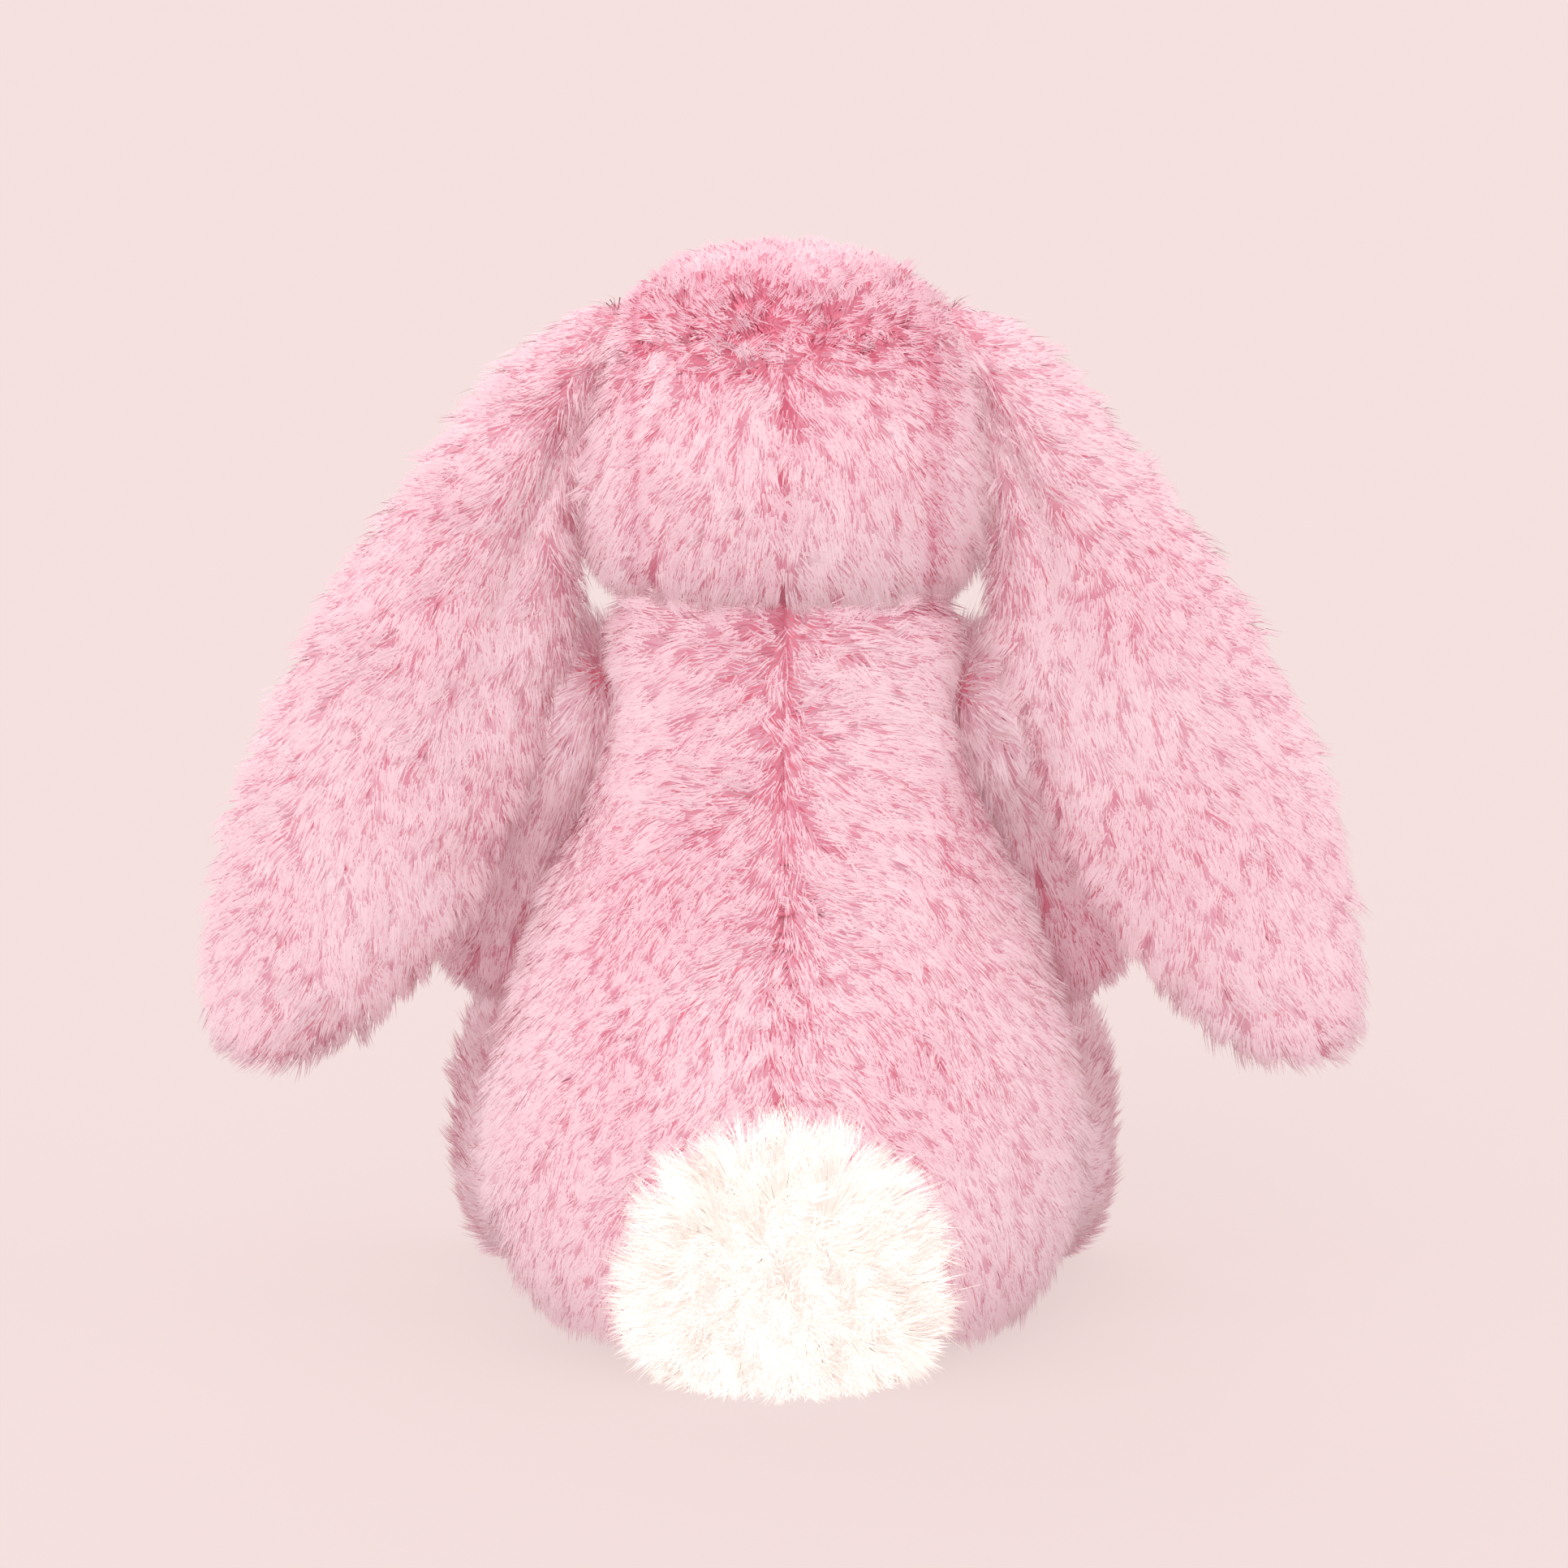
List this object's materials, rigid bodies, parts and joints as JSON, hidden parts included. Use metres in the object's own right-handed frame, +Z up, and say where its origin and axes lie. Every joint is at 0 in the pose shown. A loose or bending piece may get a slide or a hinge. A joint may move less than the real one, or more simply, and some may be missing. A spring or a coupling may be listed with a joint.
{
  "type": "stuffed bunny rabbit",
  "caption": "Sitting lop-eared plush rabbit in pink pile fabric with a white pompom tail; its head nods, its ears lift and its arms and legs swing.",
  "frame": {"origin": "on the surface the toy sits on, at the middle of the seat's flat face", "axes": "+Z up, -Y the way the rabbit faces, +X its own left side"},
  "size_m": [0.207, 0.141, 0.1985],
  "materials": {
    "pink_plush": "matte",
    "white_plush": "matte",
    "ear_lining": "matte",
    "polyester_fill": "matte",
    "pouch_cloth": "matte",
    "pellets": "matte",
    "pink_thread": "matte",
    "nose_thread": "matte",
    "eye_black": "gloss",
    "washer_plastic": "matte"
  },
  "bodies": {
    "torso": {"torso_back_left": "pink_plush", "torso_back_right": "pink_plush", "torso_belly": "pink_plush", "torso_seat": "pink_plush", "torso_stuffing": "polyester_fill", "pellet_pouch": "pouch_cloth", "pellet_fill": "pellets", "closing_stitch": "pink_thread", "tail_cover": "white_plush", "tail_stuffing": "polyester_fill"},
    "head": {"head_back_left": "pink_plush", "head_back_right": "pink_plush", "head_side_left": "pink_plush", "head_side_right": "pink_plush", "head_face": "pink_plush", "head_stuffing": "polyester_fill", "nose": "nose_thread", "mouth_stitch": "nose_thread", "eye_left": "eye_black", "eye_right": "eye_black", "eye_washer_left": "washer_plastic", "eye_washer_right": "washer_plastic"},
    "ear_left": {"ear_back_left": "pink_plush", "ear_batting_left": "polyester_fill", "ear_lining_left": "ear_lining"},
    "ear_right": {"ear_back_right": "pink_plush", "ear_batting_right": "polyester_fill", "ear_lining_right": "ear_lining"},
    "arm_left": {"arm_outer_left": "pink_plush", "arm_inner_left": "pink_plush", "arm_stuffing_left": "polyester_fill"},
    "arm_right": {"arm_outer_right": "pink_plush", "arm_inner_right": "pink_plush", "arm_stuffing_right": "polyester_fill"},
    "leg_left": {"leg_outer_left": "pink_plush", "leg_inner_left": "pink_plush", "foot_sole_left": "pink_plush", "leg_stuffing_left": "polyester_fill"},
    "leg_right": {"leg_outer_right": "pink_plush", "leg_inner_right": "pink_plush", "foot_sole_right": "pink_plush", "leg_stuffing_right": "polyester_fill"}
  },
  "joints": [
    {"name": "neck_nod", "type": "hinge", "parent": "torso", "child": "head", "pos_m": [0, -0.001, 0.126], "axis": [1, 0, 0], "range_deg": [-6, 18]},
    {"name": "ear_left_lift", "type": "hinge", "parent": "head", "child": "ear_left", "pos_m": [0.0335, 0.0055, 0.184], "axis": [0, -1, 0], "range_deg": [0, 80]},
    {"name": "ear_right_lift", "type": "hinge", "parent": "head", "child": "ear_right", "pos_m": [-0.0335, 0.0055, 0.184], "axis": [0, 1, 0], "range_deg": [0, 80]},
    {"name": "arm_left_raise", "type": "hinge", "parent": "torso", "child": "arm_left", "pos_m": [0.04, -0.0105, 0.113], "axis": [-1, 0, 0], "range_deg": [0, 75]},
    {"name": "arm_right_raise", "type": "hinge", "parent": "torso", "child": "arm_right", "pos_m": [-0.04, -0.0105, 0.113], "axis": [-1, 0, 0], "range_deg": [0, 75]},
    {"name": "leg_left_swing", "type": "hinge", "parent": "torso", "child": "leg_left", "pos_m": [0.033, -0.033, 0.019], "axis": [1, 0, 0], "range_deg": [0, 40]},
    {"name": "leg_right_swing", "type": "hinge", "parent": "torso", "child": "leg_right", "pos_m": [-0.033, -0.033, 0.019], "axis": [1, 0, 0], "range_deg": [0, 40]}
  ]
}
